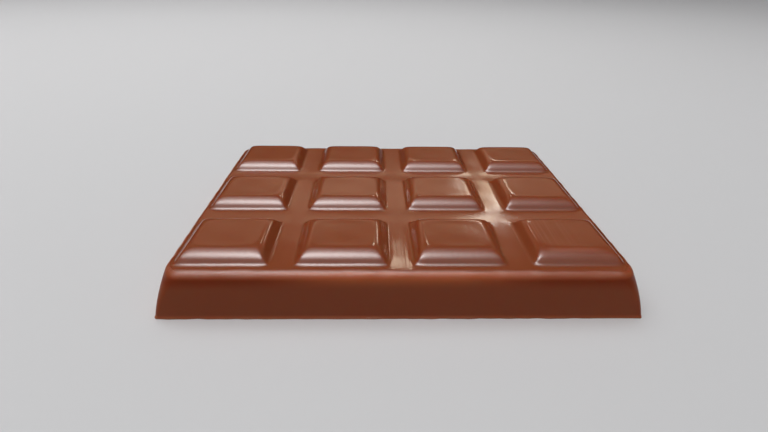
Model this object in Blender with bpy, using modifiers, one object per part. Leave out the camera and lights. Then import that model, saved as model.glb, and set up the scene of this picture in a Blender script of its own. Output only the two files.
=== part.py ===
"""Moulded bar of milk chocolate: a drafted slab with columns and rows of raised, bevelled pads.

Lengths are in metres. +X runs along the bar, +Y across it towards the far side and +Z up.
The origin is the middle of the flat underside, which was the open back of the mould.
"""

import math
from collections import namedtuple

import bmesh
import bpy

BAR_NAME = "chocolate_bar"

# Driving dimensions of the mould
PAD_PITCH = 0.025
COLUMNS = 4
ROWS = 3
PAD_LENGTH = 0.0198
PAD_WIDTH = 0.0187
SLAB_HEIGHT = 0.0101
PAD_HEIGHT = 0.0023
PAD_BEVEL_RUN = 0.0020
SIDE_FLAT = 0.0003
FRONT_FLAT = 0.00105
WALL_DRAFT = math.radians(13)
FLASH_HEIGHT = 0.0003
FLASH_WIDTH = 0.0002

# Radii of the rounded edges and, in plan, of the slab's corners
SHOULDER_RADIUS = 0.0016
PAD_CREST_RADIUS = 0.0014
PAD_RIDGE_RADIUS = 0.0008
PAD_FOOT_RADIUS = 0.0003
RIM_CORNER_RADIUS = 0.0014
FOOT_CORNER_RADIUS = 0.0006
ROUND_SEGMENTS = 4

# Look of the chocolate
CHOCOLATE_COLOUR = (0.225, 0.066, 0.028, 1.0)
CHOCOLATE_ROUGHNESS = 0.3

# Along each axis: how many pads, the size of one and the level rim outside the last one's foot
PAD_COUNTS = (COLUMNS, ROWS)
PAD_SIZES = (PAD_LENGTH, PAD_WIDTH)
RIM_FLATS = (SIDE_FLAT, FRONT_FLAT)
PAD_SLOPE = math.atan2(PAD_HEIGHT, PAD_BEVEL_RUN)
RIGHT_ANGLE = math.radians(90)
SHADE_SHARP_ANGLE = math.radians(50)


def round_offset(radius, turn):
    """Distance from a sharp edge to where an arc of this radius meets its two faces, which turn by this angle."""
    return radius * math.tan(turn / 2)


def ridge_turn(slope):
    """Angle between the normals of two neighbouring pad bevels, both of which slope by this angle."""
    return math.acos(math.cos(slope) ** 2)


SHOULDER_OFFSET = round_offset(SHOULDER_RADIUS, RIGHT_ANGLE - WALL_DRAFT)
WALL_RUN = (SLAB_HEIGHT - FLASH_HEIGHT) * math.tan(WALL_DRAFT)

# Level outlines of the slab from the table up: the flash's edge, the wall's foot and the sharp rim
Outline = namedtuple("Outline", "length width corner_radius height")


def outline_around_flat(margin, corner_radius, height):
    """The outline that runs this far outside the level part of the top."""
    spans = zip(PAD_COUNTS, PAD_SIZES, RIM_FLATS)
    length, width = [(count - 1) * PAD_PITCH + size + 2 * (flat + margin) for count, size, flat in spans]
    return Outline(length, width, corner_radius, height)


FLASH_EDGE = outline_around_flat(SHOULDER_OFFSET + WALL_RUN + FLASH_WIDTH, FOOT_CORNER_RADIUS, 0.0)
WALL_FOOT = outline_around_flat(SHOULDER_OFFSET + WALL_RUN, FOOT_CORNER_RADIUS, FLASH_HEIGHT)
SHARP_RIM = outline_around_flat(SHOULDER_OFFSET, RIM_CORNER_RADIUS, SLAB_HEIGHT)


def clear_scene():
    for item in list(bpy.data.objects):
        bpy.data.objects.remove(item, do_unlink=True)


def chocolate_material():
    material = bpy.data.materials.new("milk_chocolate")
    material.use_nodes = True
    shader = material.node_tree.nodes["Principled BSDF"]
    shader.inputs["Base Color"].default_value = CHOCOLATE_COLOUR
    shader.inputs["Roughness"].default_value = CHOCOLATE_ROUGHNESS
    shader.inputs["Metallic"].default_value = 0.0
    return material


def reshape(verts, start, end):
    """Move the corners and arcs of one outline to the matching places on another."""
    for vert in verts:
        sizes = ((start.length, end.length), (start.width, end.width))
        for axis, (old_size, new_size) in enumerate(sizes):
            past_arc_centre = abs(vert.co[axis]) - (old_size / 2 - start.corner_radius)
            grown = past_arc_centre * end.corner_radius / start.corner_radius
            vert.co[axis] = math.copysign(new_size / 2 - end.corner_radius + grown, vert.co[axis])
        vert.co.z = end.height


def make_slab(bm):
    """A thin plate with rounded corners for the flash, its top drawn in, then raised to the narrower rim."""
    bmesh.ops.create_cube(bm, size=1.0)
    bmesh.ops.scale(bm, vec=(FLASH_EDGE.length, FLASH_EDGE.width, FLASH_HEIGHT), verts=bm.verts)
    bmesh.ops.translate(bm, vec=(0, 0, FLASH_HEIGHT / 2), verts=bm.verts)
    upright = [edge for edge in bm.edges if edge.verts[0].co.xy == edge.verts[1].co.xy]
    radius = FLASH_EDGE.corner_radius
    bmesh.ops.bevel(bm, geom=upright, offset=radius, segments=ROUND_SEGMENTS, profile=0.5, affect="EDGES")
    top = max(bm.faces, key=lambda face: face.calc_center_median().z)
    reshape(top.verts, FLASH_EDGE, WALL_FOOT)
    top = bmesh.ops.extrude_discrete_faces(bm, faces=[top])["faces"][0]
    reshape(top.verts, WALL_FOOT, SHARP_RIM)


def top_faces(bm):
    bm.faces.ensure_lookup_table()
    return [face for face in bm.faces if face.normal.z > 0.99 and face.calc_center_median().z > SLAB_HEIGHT / 2]


def cut_pad_outlines(bm):
    """Cut the top along both sides of every column and row of pads."""
    for axis, (count, size) in enumerate(zip(PAD_COUNTS, PAD_SIZES)):
        for index in range(count):
            centre = (index - (count - 1) / 2) * PAD_PITCH
            for edge in (centre - size / 2, centre + size / 2):
                faces = top_faces(bm)
                edges = {e for face in faces for e in face.edges}
                verts = {v for face in faces for v in face.verts}
                point = [0.0, 0.0, 0.0]
                normal = [0.0, 0.0, 0.0]
                point[axis] = edge
                normal[axis] = 1.0
                geometry = [*faces, *edges, *verts]
                bmesh.ops.bisect_plane(bm, geom=geometry, plane_co=point, plane_no=normal)


def is_pad(face):
    """Pads are the only faces of the cut top that span one pad's size both ways."""
    for axis, size in enumerate(PAD_SIZES):
        places = [vert.co[axis] for vert in face.verts]
        if abs(max(places) - min(places) - size) > (PAD_PITCH - size) / 4:
            return False
    return True


def set_round(edges, weights, radius, turn):
    for edge in edges:
        edge[weights] = round_offset(radius, turn) / SHOULDER_OFFSET


def raise_pads(bm, weights):
    """Draw each pad's face in as it rises, which leaves a sloped bevel, and mark its edges for rounding."""
    pads = [face for face in top_faces(bm) if is_pad(face)]
    for pad in pads:
        set_round(pad.edges, weights, PAD_FOOT_RADIUS, PAD_SLOPE)
    feet = {edge for pad in pads for edge in pad.edges}
    bmesh.ops.inset_individual(bm, faces=pads, thickness=PAD_BEVEL_RUN, depth=PAD_HEIGHT)
    for pad in pads:
        crest = set(pad.edges)
        set_round(crest, weights, PAD_CREST_RADIUS, PAD_SLOPE)
        ridges = {edge for corner in pad.verts for edge in corner.link_edges} - crest - feet
        set_round(ridges, weights, PAD_RIDGE_RADIUS, ridge_turn(PAD_SLOPE))


def mark_shoulder(bm, weights):
    """Mark the rim of the slab for rounding."""
    rim = [edge for face in top_faces(bm) for edge in face.edges]
    set_round(rim, weights, SHOULDER_RADIUS, RIGHT_ANGLE - WALL_DRAFT)


def chocolate_bar(collection):
    bm = bmesh.new()
    make_slab(bm)
    weights = bm.edges.layers.float.new("bevel_weight_edge")
    mark_shoulder(bm, weights)
    cut_pad_outlines(bm)
    raise_pads(bm, weights)
    mesh = bpy.data.meshes.new(BAR_NAME)
    bm.to_mesh(mesh)
    bm.free()
    mesh.materials.append(chocolate_material())
    mesh.shade_smooth()
    mesh.set_sharp_from_angle(angle=SHADE_SHARP_ANGLE)
    bar = bpy.data.objects.new(BAR_NAME, mesh)
    collection.objects.link(bar)
    rounding = bar.modifiers.new("rounded_edges", "BEVEL")
    rounding.limit_method = "WEIGHT"
    rounding.width = SHOULDER_OFFSET
    rounding.segments = ROUND_SEGMENTS
    rounding.use_clamp_overlap = False
    return bar


clear_scene()
bar_collection = bpy.data.collections.new("Chocolate bar")
bpy.context.scene.collection.children.link(bar_collection)
chocolate_bar(bar_collection)
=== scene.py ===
import math

import bpy
import numpy as np
from mathutils import Euler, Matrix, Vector


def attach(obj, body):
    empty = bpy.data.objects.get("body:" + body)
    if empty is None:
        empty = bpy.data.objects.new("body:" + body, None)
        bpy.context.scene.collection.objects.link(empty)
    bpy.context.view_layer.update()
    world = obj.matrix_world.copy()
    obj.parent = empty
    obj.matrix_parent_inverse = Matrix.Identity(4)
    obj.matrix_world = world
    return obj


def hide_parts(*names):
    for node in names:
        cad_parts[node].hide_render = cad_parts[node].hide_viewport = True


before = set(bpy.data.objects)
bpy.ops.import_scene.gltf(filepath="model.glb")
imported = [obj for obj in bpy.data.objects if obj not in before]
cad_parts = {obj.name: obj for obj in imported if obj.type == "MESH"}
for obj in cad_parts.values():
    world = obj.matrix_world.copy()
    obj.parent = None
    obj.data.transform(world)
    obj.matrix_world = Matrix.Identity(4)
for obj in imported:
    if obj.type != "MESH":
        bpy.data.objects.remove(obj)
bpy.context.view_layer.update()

scene = bpy.context.scene
scene.view_settings.view_transform = "Standard"

# The camera looks down on the long front side from close by, a little left of the middle. Its wide lens
# makes the far row of pads look much smaller than the near one.
CAMERA_PLACE = (-0.00595, -0.11604, 0.06556)
CAMERA_PITCH_DOWN = math.radians(28.16)
CAMERA_TURN_RIGHT = math.radians(1.50)
CAMERA_ROLL = math.radians(0.88)
CAMERA_LENS_MM = 22.18
CAMERA_SENSOR_MM = 36.0

camera_data = bpy.data.cameras.new("camera")
camera_data.lens = CAMERA_LENS_MM
camera_data.sensor_width = CAMERA_SENSOR_MM
camera_data.clip_start = 0.005
camera = bpy.data.objects.new("camera", camera_data)
camera.location = CAMERA_PLACE
upright = Euler((math.radians(90) - CAMERA_PITCH_DOWN, 0, -CAMERA_TURN_RIGHT), "XYZ").to_matrix()
rolled = upright @ Euler((0, 0, CAMERA_ROLL), "XYZ").to_matrix()
camera.rotation_euler = rolled.to_euler()
scene.collection.objects.link(camera)
scene.camera = camera

# The bar is one casting of milk chocolate, as it drops out of a polished mould: a slab with drafted walls,
# a rounded shoulder and rows of bevelled pads. Its whole skin is one surface, worked out on a grid.
PITCH = 0.025
COLUMNS = 4
ROWS = 3
PAD_LENGTH = 0.0198
PAD_WIDTH = 0.0187
SLAB_HEIGHT = 0.0101
PAD_HEIGHT = 0.0023
BEVEL_RUN = 0.0020
CREST_RADIUS = 0.0023
FRONT_CREST_RADIUS = 0.0046
FOOT_RADIUS = 0.0013
RIDGE_SHARPNESS = 3.3
CORNER_CUT = 0.0004
CORNER_REACH = 0.0012
SIDE_FLAT = 0.00016
FRONT_FLAT = 0.00105
RIM_CORNER = 0.0030
CORNER_GROWTH = 0.5
SIDE_SHOULDER = 0.0016
FRONT_SHOULDER = 0.0023
FOOT_CORNER = 0.0010
SIDE_TOP_DRAFT = math.radians(16.5)
FRONT_TOP_DRAFT = math.radians(11.5)
SIDE_FOOT_DRAFT = math.radians(10)
FRONT_FOOT_DRAFT = math.radians(7.5)
FLASH_HEIGHT = 0.0003
FLASH_WIDTH = 0.00015
PANEL_RUN = 0.0016
PANEL_DISH = 0.00002
CHANNEL_HOLLOW = 0.00005
TOP_WAVE = 0.000014
SHOULDER_WAVE = 0.00008
SHOULDER_RINGS = 16
WALL_RINGS = 15
LIP_RINGS = 4
UNDERSIDE_RINGS = 13

bevel_slope = math.atan2(PAD_HEIGHT, BEVEL_RUN)
reach_share = math.tan(bevel_slope / 2)
foot_reach = FOOT_RADIUS * reach_share
flat_half_length = ((COLUMNS - 1) * PITCH + PAD_LENGTH) / 2 + SIDE_FLAT
flat_half_width = ((ROWS - 1) * PITCH + PAD_WIDTH) / 2 + FRONT_FLAT


def waves(along, across, length, seed):
    """Smooth unevenness between about -1 and 1: five sine waves of near length, each its own way and phase."""
    total = 0
    for number in range(5):
        turn = seed + 2.4 * number
        step = 2 * math.pi / (length * (0.7 + 0.17 * number))
        total = total + np.sin(step * (along * math.cos(turn) + across * math.sin(turn)) + seed * (number + 1))
    return total / 3


def grid_lines(count, pad_size, half_extent, crest_radius):
    """Places of the grid's lines along one side: close together across each bevel, wide apart on the flats.

    Distances inside a pad's foot are listed once and mirrored about the pad's middle, pad after pad.
    """
    pad_half = pad_size / 2
    channel_half = (PITCH - pad_size) / 2
    bevel_end = BEVEL_RUN + crest_radius * reach_share
    inside = np.concatenate([
        np.linspace(-foot_reach, bevel_end, 20),
        np.linspace(bevel_end, bevel_end + PANEL_RUN, 5)[1:],
        np.linspace(bevel_end + PANEL_RUN, pad_half, 6)[1:],
    ])
    half = pad_half - inside
    pad = np.unique(np.round(np.concatenate([-half, half]), 7))
    channel = np.linspace(foot_reach - channel_half, channel_half - foot_reach, 8)[1:-1]
    lines = []
    for index in range(count):
        centre = (index - (count - 1) / 2) * PITCH
        lines.append(centre + pad)
        if index < count - 1:
            lines.append(centre + PITCH / 2 + channel)
    lines = np.concatenate(lines)
    lines = lines[np.abs(lines) < half_extent - SIDE_FLAT / 8]
    return np.concatenate([[-half_extent], lines, [half_extent]])


def from_pad_middle(place, count):
    """Signed way from the middle of the nearest pad along one axis."""
    index = np.clip(np.round(place / PITCH + (count - 1) / 2), 0, count - 1)
    return place - (index - (count - 1) / 2) * PITCH


def bevel_profile(inside, crest_radius):
    """Height above the channel at a distance inside a pad's foot.

    A concave arc leaves the channel, a straight slope follows, and a convex arc meets the pad's top.
    """
    crest_reach = crest_radius * reach_share
    foot_arc = FOOT_RADIUS - np.sqrt(np.maximum(FOOT_RADIUS**2 - (inside + foot_reach) ** 2, 0))
    slope = inside * math.tan(bevel_slope)
    to_top = np.maximum(BEVEL_RUN + crest_reach - inside, 0)
    crest_arc = PAD_HEIGHT - crest_radius + np.sqrt(np.maximum(crest_radius**2 - to_top**2, 0))
    foot_end = foot_reach * math.cos(bevel_slope)
    crest_start = BEVEL_RUN - crest_reach * math.cos(bevel_slope)
    height = np.where(inside < foot_end, foot_arc, slope)
    height = np.where(inside > crest_start, crest_arc, height)
    return np.where(inside < -foot_reach, 0.0, height)


def top_relief(x, y):
    """Height of the moulded top: bevel_profile of the distance inside a pad, with a shallow dish in each pad.

    Inside a pad the two distances join as (dx^-p + dy^-p)^(-1/p), which rounds the ridges more the higher
    they are. On a pad's front half the crest's radius goes to the front's by the share of dy^-p. Outside,
    the distance is straight to the foot. A bell at each corner of the foot takes from the distance, which
    rounds the corner. Channels sag by a cosine across their width.
    """
    to_right = from_pad_middle(x, COLUMNS)
    to_back = from_pad_middle(y, ROWS)
    dx = PAD_LENGTH / 2 - np.abs(to_right)
    dy = PAD_WIDTH / 2 - np.abs(to_back)
    least = 1e-7
    from_side = np.maximum(dx, least) ** -RIDGE_SHARPNESS
    from_front = np.maximum(dy, least) ** -RIDGE_SHARPNESS
    within = (from_side + from_front) ** (-1 / RIDGE_SHARPNESS)
    beyond = -np.hypot(np.minimum(dx, 0), np.minimum(dy, 0))
    inside = np.where((dx > 0) & (dy > 0), within, beyond)
    inside = inside - CORNER_CUT * np.exp(-(dx**2 + dy**2) / CORNER_REACH**2)
    front_share = np.where(to_back < 0, from_front / (from_side + from_front), 0)
    crest_radius = CREST_RADIUS + (FRONT_CREST_RADIUS - CREST_RADIUS) * front_share
    height = bevel_profile(inside, crest_radius)
    panel = np.clip((inside - BEVEL_RUN - crest_radius * reach_share) / PANEL_RUN, 0, 1)
    height -= PANEL_DISH * panel * panel * (3 - 2 * panel)
    across = np.clip(-inside / ((PITCH - PAD_LENGTH) / 2), 0, 1)
    height -= CHANNEL_HOLLOW * (1 - np.cos(math.pi * across)) / 2
    way_y, distance = beyond_rim(x, y)[1:]
    height -= shoulder_drop(distance, towards_front(way_y, SIDE_SHOULDER, FRONT_SHOULDER))
    height += TOP_WAVE * waves(x, y, 0.010, 1.0)
    return height


def beyond_rim(x, y):
    """Way out of the flat rim, whose corners have the radius RIM_CORNER: a level direction and the distance."""
    out_x = np.maximum(np.abs(x) - (flat_half_length - RIM_CORNER), 0)
    out_y = np.maximum(np.abs(y) - (flat_half_width - RIM_CORNER), 0)
    length = np.maximum(np.hypot(out_x, out_y), 1e-9)
    return out_x / length, out_y / length, np.maximum(length - RIM_CORNER, 0)


def towards_front(way_y, at_side, at_front):
    """A value that goes round each corner from the side's to the front's by the square of the way's y."""
    return at_side + (at_front - at_side) * way_y**2


def shoulder_drop(distance, radius):
    """How far the round shoulder has fallen at a distance out of the flat rim: R - sqrt(R^2 - distance^2)."""
    return radius - np.sqrt(np.maximum(radius**2 - distance**2, 0))


def offset_outline(x, y, grow, radius):
    """The rim's outline grown outwards by grow, with corners of the given radius.

    Straight stretches are scaled to the room between the corners. A corner's points keep their direction
    from its centre.
    """
    way_x, way_y, _ = beyond_rim(x, y)
    centre_x = np.minimum(np.abs(x) / (flat_half_length - RIM_CORNER), 1) * (flat_half_length + grow - radius)
    centre_y = np.minimum(np.abs(y) / (flat_half_width - RIM_CORNER), 1) * (flat_half_width + grow - radius)
    return np.sign(x) * (centre_x + radius * way_x), np.sign(y) * (centre_y + radius * way_y)


def loop_of(rows, columns):
    """Index of every vertex round the edge of a grid, anticlockwise from its first corner."""
    index = np.arange(rows * columns).reshape(rows, columns)
    return np.concatenate([index[0, :-1], index[:-1, -1], index[-1, :0:-1], index[:0:-1, 0]])


def grid_faces(rows, columns):
    """Four-cornered faces of a grid of vertices, seen anticlockwise from above."""
    index = np.arange(rows * columns).reshape(rows, columns)
    return np.stack([index[:-1, :-1], index[:-1, 1:], index[1:, 1:], index[1:, :-1]], -1).reshape(-1, 4)


def band_faces(upper, lower):
    """Four-cornered faces between two closed loops of vertices, the lower one further out."""
    return np.stack([upper, lower, np.roll(lower, -1), np.roll(upper, -1)], -1)


column_lines = grid_lines(COLUMNS, PAD_LENGTH, flat_half_length, CREST_RADIUS)
row_lines = grid_lines(ROWS, PAD_WIDTH, flat_half_width, FRONT_CREST_RADIUS)
grid_x, grid_y = np.meshgrid(column_lines, row_lines)
top_z = SLAB_HEIGHT + top_relief(grid_x, grid_y)
top_points = np.stack([grid_x, grid_y, top_z], -1).reshape(-1, 3)
faces = [grid_faces(*grid_x.shape)]

edge = loop_of(*grid_x.shape)
edge_x = grid_x.ravel()[edge]
edge_y = grid_y.ravel()[edge]
way_y, start = beyond_rim(edge_x, edge_y)[1:]
shoulder_radius = towards_front(way_y, SIDE_SHOULDER, FRONT_SHOULDER)
top_draft = towards_front(way_y, SIDE_TOP_DRAFT, FRONT_TOP_DRAFT)
foot_draft = towards_front(way_y, SIDE_FOOT_DRAFT, FRONT_FOOT_DRAFT)
shoulder_run = shoulder_radius * np.cos(top_draft)
turn = np.linspace(0, 1, SHOULDER_RINGS + 1)[1:, None] * (math.pi / 2 - top_draft)
shoulder_grow = start + (shoulder_run - start) * np.sin(turn) / np.cos(top_draft)
shoulder_corner = RIM_CORNER + CORNER_GROWTH * shoulder_grow
shoulder_x, shoulder_y = offset_outline(edge_x, edge_y, shoulder_grow, shoulder_corner)
shoulder_z = SLAB_HEIGHT - shoulder_drop(shoulder_grow, shoulder_radius)
# What the rim's edge stands off the plain flat fades away within the first of the shoulder
excess = top_z.ravel()[edge] - SLAB_HEIGHT + shoulder_drop(start, shoulder_radius)
fading = np.clip((shoulder_run - shoulder_grow) / (shoulder_run - start), 0, 1)
shoulder_z = shoulder_z + excess * fading**8
beads = waves(edge_x, edge_y, 0.006, 2.0) + 0.5 * waves(edge_x, edge_y, 0.003, 5.0)
shoulder_z = shoulder_z + SHOULDER_WAVE * beads * np.sin(2 * turn)
shoulder_points = np.stack([shoulder_x, shoulder_y, shoulder_z], -1)

# The wall bends a little: its draft goes evenly from the shoulder's end to the steeper foot
wall_top = SLAB_HEIGHT - shoulder_radius * (1 - np.sin(top_draft))
wall_share = np.linspace(0, 1, WALL_RINGS + 1)[1:, None]
wall_z = wall_top + (FLASH_HEIGHT - wall_top) * wall_share
mean_draft = np.tan(top_draft) + (np.tan(foot_draft) - np.tan(top_draft)) * wall_share / 2
wall_grow = shoulder_run + (wall_top - wall_z) * mean_draft
down = np.linspace(0, 1, LIP_RINGS + 1)[1:, None]
ragged = 0.5 * waves(edge_x, edge_y, 0.011, 3.0) + 0.5 * waves(edge_x, edge_y, 0.004, 7.0)
lip_width = FLASH_WIDTH * (1 + ragged)
lip_grow = wall_grow[-1] + lip_width * np.sin(down * math.pi / 2)
lip_z = np.broadcast_to(FLASH_HEIGHT * (1 - down), lip_grow.shape)
wall_grow = np.concatenate([wall_grow, lip_grow])
wall_z = np.concatenate([wall_z, lip_z])
above_foot = np.clip((wall_z - FLASH_HEIGHT) / (wall_top - FLASH_HEIGHT), 0, 1)
top_corner = RIM_CORNER + CORNER_GROWTH * shoulder_run
wall_corner = FOOT_CORNER + (top_corner - FOOT_CORNER) * above_foot**2
wall_x, wall_y = offset_outline(edge_x, edge_y, wall_grow, wall_corner)
wall_points = np.stack([wall_x, wall_y, wall_z], -1)
wall_points = np.concatenate([shoulder_points, wall_points])

inward = np.linspace(0, 1, UNDERSIDE_RINGS + 2)[1:-1, None]
under_x = wall_x[-1] * (1 - inward)
under_y = wall_y[-1] * (1 - inward)
under_z = np.zeros_like(under_x)
under_points = np.stack([under_x, under_y, under_z], -1)

ring_points = np.concatenate([wall_points, under_points])
ring_count, ring_size = ring_points.shape[:2]
rings = len(top_points) + np.arange(ring_count * ring_size).reshape(ring_count, ring_size)
rings = np.concatenate([edge[None], rings])
faces += [band_faces(upper, lower) for upper, lower in zip(rings[:-1], rings[1:])]
faces = np.concatenate(faces)
middle = len(top_points) + ring_count * ring_size
fan = np.stack([rings[-1], np.full(ring_size, middle), np.roll(rings[-1], -1)], -1)
points = np.concatenate([top_points, ring_points.reshape(-1, 3), [[0, 0, 0]]])

bar_mesh = bpy.data.meshes.new("milk_chocolate_bar")
bar_mesh.from_pydata(points.tolist(), [], faces.tolist() + fan.tolist())
bar_mesh.shade_smooth()
bar = bpy.data.objects.new("milk_chocolate_bar", bar_mesh)
scene.collection.objects.link(bar)

# Colours of the chocolate and of the light and shade painted on it, its finish, and how far light spreads in it
MILK_CHOCOLATE = (0.245, 0.058, 0.0185, 1)
SHOULDER_SHEEN_PAINT = (0.40, 0.100, 0.028, 1)
GLOW_BAND_PAINT = (0.215, 0.032, 0.0045, 1)
LIT_FLASH_PAINT = (0.38, 0.090, 0.030, 1)
STREAK_SHEEN_PAINT = (0.36, 0.13, 0.085, 1)
CREST_HIGHLIGHT_PAINT = (0.45, 0.17, 0.120, 1)
LIGHT_DEPTH = 0.0022
WALL_ROUGHNESS = 0.44
TOP_ROUGHNESS = 0.10
STREAK_SCALE = (1600, 25, 200)
STREAK_DEPTH = 0.000025

chocolate = bpy.data.materials.new("milk_chocolate")
chocolate.use_nodes = True
shader = chocolate.node_tree.nodes["Principled BSDF"]
shader.inputs["Subsurface Weight"].default_value = 0.9
shader.inputs["Subsurface Radius"].default_value = (1.0, 0.3, 0.12)
shader.inputs["Subsurface Scale"].default_value = LIGHT_DEPTH
paint = chocolate.node_tree
place = paint.nodes.new("ShaderNodeTexCoord")
axes = paint.nodes.new("ShaderNodeSeparateXYZ")
paint.links.new(place.outputs["Object"], axes.inputs["Vector"])
place_x, place_y, place_z = axes.outputs


def ramp(socket, start, end, from_value, to_value):
    """Output that goes smoothly from one value to another while the socket goes from start to end."""
    node = paint.nodes.new("ShaderNodeMapRange")
    node.interpolation_type = "SMOOTHSTEP"
    node.inputs["From Min"].default_value = start
    node.inputs["From Max"].default_value = end
    node.inputs["To Min"].default_value = from_value
    node.inputs["To Max"].default_value = to_value
    paint.links.new(socket, node.inputs["Value"])
    return node.outputs["Result"]


def product(first, second):
    """Output of the product of two sockets."""
    node = paint.nodes.new("ShaderNodeMath")
    node.operation = "MULTIPLY"
    paint.links.new(first, node.inputs[0])
    paint.links.new(second, node.inputs[1])
    return node.outputs[0]


def hump(socket, start, full, end, zero, height=1.0):
    """Output that rises smoothly from nothing at start to full, and falls again from end to zero."""
    return product(ramp(socket, start, full, 0.0, height), ramp(socket, end, zero, 1.0, 0.0))


def blend(colour, other, mask):
    """Output that goes from a colour, given as a socket or as numbers, to the other one by a mask."""
    node = paint.nodes.new("ShaderNodeMix")
    node.data_type = "RGBA"
    if isinstance(colour, bpy.types.NodeSocket):
        paint.links.new(colour, node.inputs["A"])
    else:
        node.inputs["A"].default_value = colour
    node.inputs["B"].default_value = other
    paint.links.new(mask, node.inputs["Factor"])
    return node.outputs["Result"]


sideways = paint.nodes.new("ShaderNodeMath")
sideways.operation = "ABSOLUTE"
paint.links.new(place_x, sideways.inputs[0])
from_middle = sideways.outputs[0]
# Painted sheen: the shoulder and the top of the wall are painted paler and warmer, for the broad warm tail of
# the shoulder's highlight, most in the middle of the long sides
sheen_height = hump(place_z, 0.0066, 0.0093, 0.0097, 0.01002)
painted_sheen_mask = product(sheen_height, ramp(from_middle, 0.012, 0.036, 1.0, 0.35))
tone = blend(MILK_CHOCOLATE, SHOULDER_SHEEN_PAINT, painted_sheen_mask)
# Under the shoulder runs a darker, redder band of painted light, for red light glowing through the chocolate
# there, strongest towards the bar's left and right ends
glow_band_height = hump(place_z, 0.0062, 0.0082, 0.0085, 0.0094)
glow_band_mask = product(glow_band_height, ramp(from_middle, 0.010, 0.034, 0.0, 1.0))
tone = blend(tone, GLOW_BAND_PAINT, glow_band_mask)
# Painted highlight: the thin flash at the foot is painted paler and warmer, where it curls up to the light from
# above
tone = blend(tone, LIT_FLASH_PAINT, hump(place_z, 0.00002, 0.00015, 0.0003, 0.0010))
# The moulded top is glossy, the shoulder and the walls are duller
gloss_end = paint.nodes.new("ShaderNodeMapRange")
gloss_end.inputs["From Min"].default_value = SLAB_HEIGHT - 0.00025
gloss_end.inputs["From Max"].default_value = SLAB_HEIGHT - 0.00003
gloss_end.inputs["To Min"].default_value = WALL_ROUGHNESS
gloss_end.inputs["To Max"].default_value = TOP_ROUGHNESS
paint.links.new(place_z, gloss_end.inputs["Value"])
paint.links.new(gloss_end.outputs["Result"], shader.inputs["Roughness"])
# Fine streaks along Y, left by the polishing of the mould
stretch = paint.nodes.new("ShaderNodeMapping")
stretch.inputs["Scale"].default_value = STREAK_SCALE
streaks = paint.nodes.new("ShaderNodeTexNoise")
streaks.inputs["Scale"].default_value = 1.0
streaks.inputs["Detail"].default_value = 3.0
streak_bump = paint.nodes.new("ShaderNodeBump")
streak_bump.inputs["Strength"].default_value = 0.5
streak_bump.inputs["Distance"].default_value = STREAK_DEPTH
paint.links.new(place.outputs["Object"], stretch.inputs["Vector"])
paint.links.new(stretch.outputs["Vector"], streaks.inputs["Vector"])
paint.links.new(streaks.outputs["Fac"], streak_bump.inputs["Height"])
paint.links.new(streak_bump.outputs["Normal"], shader.inputs["Normal"])
# On the front pad on the right, pale pinkish streaks of painted reflection run over its back left part, where
# the mould's polishing lines catch the light, and a painted highlight of the same colour follows its front
# crest
streak_sheen_length = hump(place_x, 0.0285, 0.0310, 0.0320, 0.0420)
streak_sheen_area = product(streak_sheen_length, hump(place_y, -0.0320, -0.0250, -0.0170, -0.0155))
streak_sheen_mask = product(streak_sheen_area, ramp(streaks.outputs["Fac"], 0.42, 0.62, 0.0, 0.22))
tone = blend(tone, STREAK_SHEEN_PAINT, streak_sheen_mask)
# Painted highlight along the front crest of that pad
crest_highlight_length = hump(place_x, 0.0300, 0.0330, 0.0400, 0.0450, 0.3)
crest_highlight_mask = product(crest_highlight_length, hump(place_y, -0.0324, -0.0314, -0.0312, -0.0304))
tone = blend(tone, CREST_HIGHLIGHT_PAINT, crest_highlight_mask)
paint.links.new(tone, shader.inputs["Base Color"])
bar_mesh.materials.append(chocolate)
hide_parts("chocolate_bar")
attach(bar, "root")

# The floor is a plain pale sheet, matt and level, on which the bar lies. It stays out of reflections, so
# that the walls stay as dark as they are in the photo.
FLOOR_REACH = 3.0
FLOOR_COLOUR = (0.61, 0.62, 0.63, 1)
FLOOR_ROUGHNESS = 0.7
floor_mesh = bpy.data.meshes.new("floor")
corners = [(x * FLOOR_REACH, y * FLOOR_REACH, 0) for x, y in ((-1, -1), (1, -1), (1, 1), (-1, 1))]
floor_mesh.from_pydata(corners, [], [(0, 1, 2, 3)])
floor = bpy.data.objects.new("floor", floor_mesh)
floor_paint = bpy.data.materials.new("floor_paint")
floor_paint.use_nodes = True
floor_shader = floor_paint.node_tree.nodes["Principled BSDF"]
floor_shader.inputs["Base Color"].default_value = FLOOR_COLOUR
floor_shader.inputs["Roughness"].default_value = FLOOR_ROUGHNESS
floor_mesh.materials.append(floor_paint)
floor.visible_glossy = False
scene.collection.objects.link(floor)


# Soft studio light. One broad panel overhead gives the matt light. Small warm lamps stand low behind the
# bar and only show in its gloss, as the bright patches in the channels and on one pad.
LAMP_DISTANCE = 0.8


def area_light(name, place, size, radiance, colour, gloss_only, faces_down):
    """An oval lamp by the brightness of its face, which looks straight down or at the bar."""
    light_data = bpy.data.lights.new(name, "AREA")
    light_data.shape = "ELLIPSE"
    light_data.size, light_data.size_y = size
    light_data.energy = radiance * math.pi * math.pi * size[0] * size[1] / 4
    light_data.color = colour
    light = bpy.data.objects.new(name, light_data)
    light.location = place
    if not faces_down:
        light.rotation_euler = (Vector((0, 0, 0.01)) - Vector(place)).to_track_quat("-Z", "Y").to_euler()
    light.visible_diffuse = not gloss_only
    light.visible_glossy = gloss_only
    scene.collection.objects.link(light)


def gloss_lamp(name, azimuth, elevation, size, radiance, colour):
    """A small lamp that only gloss shows, placed by degrees right of straight back and above the level."""
    azimuth, elevation = math.radians(azimuth), math.radians(elevation)
    level = LAMP_DISTANCE * math.cos(elevation)
    place = (level * math.sin(azimuth), level * math.cos(azimuth), LAMP_DISTANCE * math.sin(elevation))
    area_light(name, place, size, radiance, colour, True, False)


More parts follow.
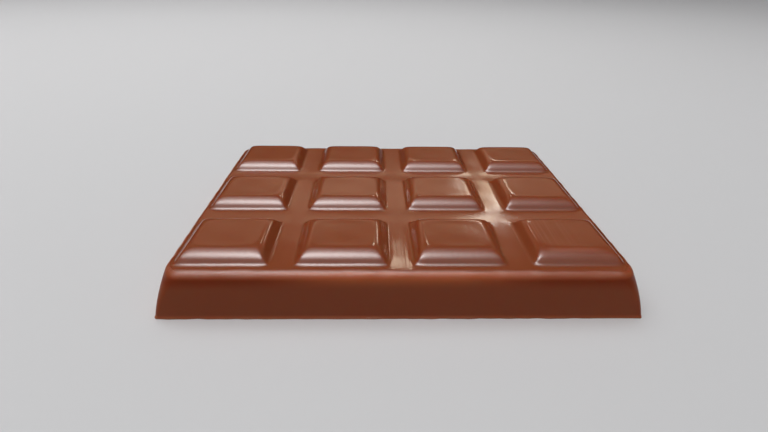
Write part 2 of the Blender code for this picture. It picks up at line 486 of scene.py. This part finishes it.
gloss_lamp("lamp_right", 16.3, 26.2, (0.09, 0.068), 2.4, (1.0, 0.85, 0.60))
gloss_lamp("lamp_crossing", 17.6, 27.7, (0.084, 0.026), 5.0, (1.0, 0.97, 0.90))
gloss_lamp("lamp_pad", 13.0, 24.6, (0.040, 0.017), 3.6, (1.0, 0.95, 0.82))
gloss_lamp("lamp_middle", 4.6, 35.8, (0.04, 0.056), 6.0, (1.0, 0.87, 0.66))
area_light("matt_top", (-0.25, 0.20, 0.9), (1.35, 1.35), 2.05, (1.0, 0.98, 0.97), False, True)

# The world round everything: for what is matt a faint light, stronger from the front, and for the gloss
# soft bells and bands of light
world = bpy.data.worlds.new("world")
world.use_nodes = True
scene.world = world
nodes = world.node_tree.nodes
links = world.node_tree.links


def calc(operation, *values):
    """Output of one node of arithmetic on sockets or plain numbers."""
    node = nodes.new("ShaderNodeMath")
    node.operation = operation
    for socket, value in zip(node.inputs, values):
        if isinstance(value, bpy.types.NodeSocket):
            links.new(value, socket)
        else:
            socket.default_value = value
    return node.outputs[0]


def bump(value, centre, reach):
    """Square of the distance of a value from the bump's centre, in units of its reach."""
    away = calc("MULTIPLY_ADD", value, 1 / reach, -centre / reach)
    return calc("MULTIPLY", away, away)


def glow(height, *squares):
    """A soft bell of light: height times e to the power of minus the sum of the squares."""
    total = squares[0]
    for square in squares[1:]:
        total = calc("ADD", total, square)
    return calc("MULTIPLY", calc("EXPONENT", calc("MULTIPLY", total, -1)), height)


def add_tinted(colour, *levels):
    """Sum of brightness levels in one colour."""
    total = levels[0]
    for level in levels[1:]:
        total = calc("ADD", total, level)
    node = nodes.new("ShaderNodeVectorMath")
    node.operation = "SCALE"
    node.inputs["Vector"].default_value = colour
    links.new(total, node.inputs["Scale"])
    return node.outputs["Vector"]


# What the gloss sees round the bar. Places overhead are given on a level plane at height 1: x to the right
# and y to the back. Bands behind the bar go by the sine of their height above the horizon.
direction = nodes.new("ShaderNodeTexCoord")
split = nodes.new("ShaderNodeSeparateXYZ")
links.new(direction.outputs["Generated"], split.inputs["Vector"])
side, back, up = split.outputs
above = calc("MAXIMUM", up, 0.001)
over_x = calc("DIVIDE", side, above)
over_y = calc("DIVIDE", back, above)
wide = glow(2.5, bump(over_x, -0.30, 0.55), bump(over_y, 0.30, 0.45))
core = glow(13.0, bump(over_x, -0.17, 0.34), bump(over_y, -0.13, 0.31))
front = glow(1.1, bump(over_x, -0.2, 1.2), bump(over_y, -0.6, 0.7))
is_behind = calc("SMOOTH_MIN", calc("MAXIMUM", calc("MULTIPLY", back, 4), 0), 1, 0.2)
band = calc("MULTIPLY", glow(0.85, bump(up, 0.445, 0.055), bump(side, -0.02, 0.38)), is_behind)
low_right = calc("MULTIPLY", glow(0.25, bump(up, 0.38, 0.06), bump(side, 0.30, 0.25)), is_behind)
haze = calc("MULTIPLY", glow(0.15, bump(up, 0.5, 0.25)), is_behind)
pale = calc("MULTIPLY", glow(0.5, bump(up, -0.25, 0.16)), is_behind)
near = calc("MULTIPLY", calc("LESS_THAN", up, -0.15), 0.15)
cool = add_tinted((1.0, 0.97, 0.97), wide, core, front, pale, near)
warm = add_tinted((1.0, 0.72, 0.5), band, low_right, haze)
gloss = nodes.new("ShaderNodeVectorMath")
links.new(cool, gloss.inputs[0])
links.new(warm, gloss.inputs[1])
ray = nodes.new("ShaderNodeLightPath")
chosen = nodes.new("ShaderNodeMix")
chosen.data_type = "RGBA"
from_front = calc("MULTIPLY_ADD", calc("MAXIMUM", calc("MULTIPLY", back, -1), 0), 0.27, 0.17)
links.new(add_tinted((1.0, 1.0, 1.03), from_front), chosen.inputs["A"])
links.new(ray.outputs["Is Glossy Ray"], chosen.inputs["Factor"])
links.new(gloss.outputs["Vector"], chosen.inputs["B"])
links.new(chosen.outputs["Result"], nodes["Background"].inputs["Color"])
